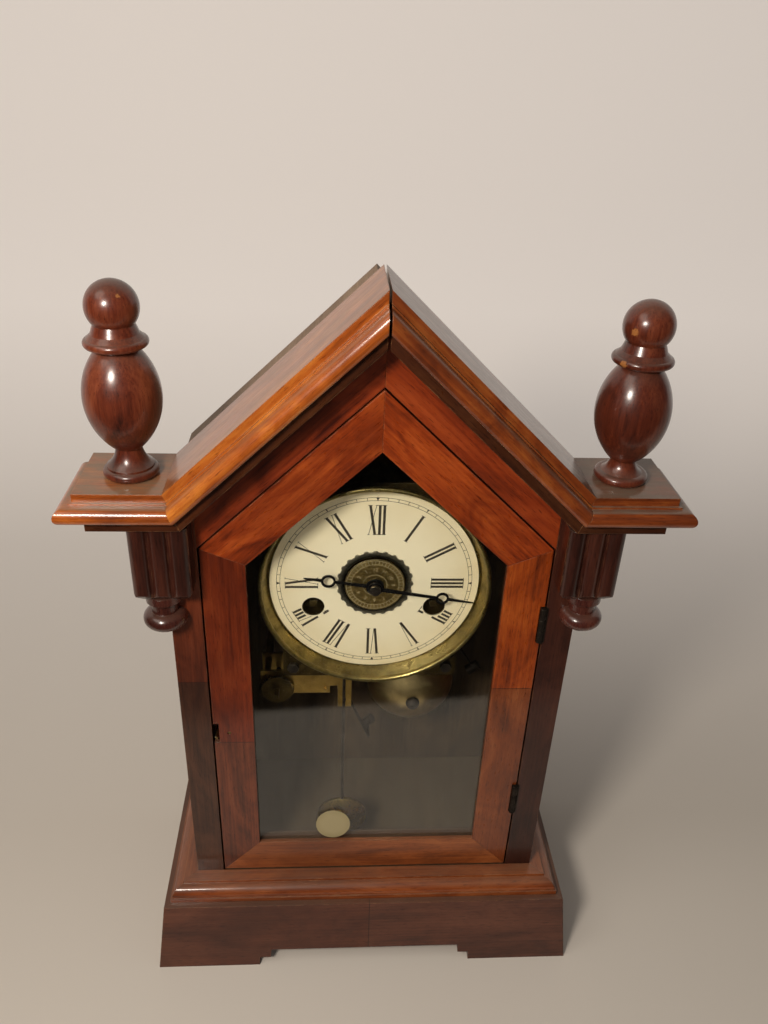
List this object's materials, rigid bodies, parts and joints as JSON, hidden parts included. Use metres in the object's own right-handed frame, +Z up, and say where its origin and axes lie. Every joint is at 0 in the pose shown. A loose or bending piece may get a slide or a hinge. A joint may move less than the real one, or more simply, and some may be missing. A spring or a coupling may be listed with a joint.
{
  "type": "shelf clock",
  "caption": "Gable-topped wooden shelf clock with turned finials, reeded brackets, a glazed door, a pan dial, a pendulum, a strike and an alarm.",
  "frame": {"origin": "middle of the clock's outline on the surface it stands on", "axes": "+Z up, -Y towards the viewer in front of the door, +X to the viewer's right"},
  "size_m": [0.3032, 0.1304, 0.4378],
  "materials": {
    "plinth_veneer": "satin",
    "base_moulding_wood": "gloss",
    "secondary_wood": "matte",
    "case_wood": "satin",
    "gable_veneer": "gloss",
    "door_veneer": "gloss",
    "cornice_wood": "gloss",
    "turned_wood": "gloss",
    "door_glass": "gloss",
    "glazing_putty": "matte",
    "hinge_iron": "satin",
    "catch_brass": "satin",
    "dial_brass": "satin",
    "dial_paper": "matte",
    "hand_steel": "satin",
    "movement_brass": "satin",
    "steel": "satin",
    "bell_brass": "satin"
  },
  "bodies": {
    "case": {"plinth_front": "plinth_veneer", "plinth_sides": "plinth_veneer", "base_moulding_front": "base_moulding_wood", "base_moulding_sides": "base_moulding_wood", "case_floor": "secondary_wood", "case_side_left": "case_wood", "case_side_right": "case_wood", "back_board": "secondary_wood", "roof_board_left": "secondary_wood", "roof_board_right": "secondary_wood", "stile_left": "case_wood", "stile_right": "case_wood", "gable_left": "gable_veneer", "gable_right": "gable_veneer", "rake_moulding_left": "cornice_wood", "rake_moulding_right": "cornice_wood", "cornice_block_left": "cornice_wood", "cornice_block_right": "cornice_wood", "bracket_left": "turned_wood", "bracket_right": "turned_wood", "pendant_left": "turned_wood", "pendant_right": "turned_wood", "finial_left": "turned_wood", "finial_right": "turned_wood", "hinge_case_leaves": "hinge_iron", "dial_pan": "dial_brass", "dial_bezel": "dial_brass", "dial_eyelet": "steel", "dial_paper": "dial_paper", "front_plate": "movement_brass", "back_plate": "movement_brass", "pillars": "steel", "mainsprings": "steel", "bell": "bell_brass", "bell_post": "hinge_iron", "alarm_plates": "movement_brass"},
    "door": {"door_stile_left": "door_veneer", "door_stile_right": "door_veneer", "door_rail": "door_veneer", "door_gable_left": "gable_veneer", "door_gable_right": "gable_veneer", "door_glass": "door_glass", "glazing_beads": "glazing_putty", "hinge_door_leaves": "hinge_iron"},
    "catch": {"door_catch": "catch_brass"},
    "minute": {"minute_hand": "hand_steel", "centre_arbor": "steel"},
    "hour": {"hour_hand": "hand_steel", "hour_wheel": "movement_brass"},
    "alarm_setting": {"alarm_disc": "dial_brass"},
    "motion_wheel": {"minute_wheel": "movement_brass"},
    "time_winding": {"winding_arbor_time": "movement_brass"},
    "strike_winding": {"winding_arbor_strike": "movement_brass"},
    "escape": {"escape_wheel": "movement_brass"},
    "verge": {"verge": "steel"},
    "pendulum": {"pendulum_rod": "movement_brass", "pendulum_bob": "movement_brass"},
    "strike": {"strike_hammer": "hinge_iron"},
    "alarm_winding": {"alarm_arbor": "steel"},
    "alarm_strike": {"alarm_hammer": "hinge_iron"}
  },
  "joints": [
    {"name": "door_swing", "type": "hinge", "parent": "case", "child": "door", "pos_m": [0.0893, -0.0404, 0.2], "axis": [0, 0, 1], "range_deg": [0, 100]},
    {"name": "catch_turn", "type": "hinge", "parent": "door", "child": "catch", "pos_m": [-0.0811, -0.0338, 0.1792], "axis": [0, 1, 0], "range_deg": [0, 60]},
    {"name": "minute_turn", "type": "hinge", "parent": "case", "child": "minute", "pos_m": [0, -0.0198, 0.2686], "axis": [0, 1, 0], "continuous": true},
    {"name": "hour_turn", "type": "hinge", "parent": "case", "child": "hour", "pos_m": [0, -0.0198, 0.2686], "axis": [0, 1, 0], "continuous": true},
    {"name": "alarm_set", "type": "hinge", "parent": "hour", "child": "alarm_setting", "pos_m": [0, -0.0198, 0.2686], "axis": [0, 1, 0], "continuous": true},
    {"name": "motion_turn", "type": "hinge", "parent": "case", "child": "motion_wheel", "pos_m": [0.00707, -0.0098, 0.26017], "axis": [0, 1, 0], "continuous": true},
    {"name": "time_wind", "type": "hinge", "parent": "case", "child": "time_winding", "pos_m": [0.0335, 0.0102, 0.2528], "axis": [0, 1, 0], "continuous": true},
    {"name": "strike_wind", "type": "hinge", "parent": "case", "child": "strike_winding", "pos_m": [-0.0335, 0.0102, 0.2528], "axis": [0, 1, 0], "continuous": true},
    {"name": "escape_turn", "type": "hinge", "parent": "case", "child": "escape", "pos_m": [-0.0155, -0.0048, 0.2846], "axis": [0, 1, 0], "continuous": true},
    {"name": "pendulum_swing", "type": "hinge", "parent": "case", "child": "pendulum", "pos_m": [-0.0155, -0.0108, 0.3146], "axis": [0, 1, 0], "range_deg": [-5, 5]},
    {"name": "verge_rock", "type": "hinge", "parent": "case", "child": "verge", "pos_m": [-0.0155, -0.0048, 0.3016], "axis": [0, 1, 0], "range_deg": [-7, 7]},
    {"name": "strike_swing", "type": "hinge", "parent": "case", "child": "strike", "pos_m": [0.049, 0.0262, 0.2046], "axis": [0, 1, 0], "range_deg": [-12, 13]},
    {"name": "alarm_wind", "type": "hinge", "parent": "case", "child": "alarm_winding", "pos_m": [-0.056, -0.0028, 0.1796], "axis": [0, 1, 0], "continuous": true},
    {"name": "alarm_swing", "type": "hinge", "parent": "case", "child": "alarm_strike", "pos_m": [-0.015, 0.0102, 0.1686], "axis": [0, 1, 0], "range_deg": [-7, 12]}
  ],
  "couplings": [
    {"joint": "hour_turn", "follows": "minute_turn", "ratio": 0.083333},
    {"joint": "motion_turn", "follows": "minute_turn", "ratio": -0.33333},
    {"joint": "verge_rock", "follows": "pendulum_swing", "ratio": 1.3514}
  ]
}
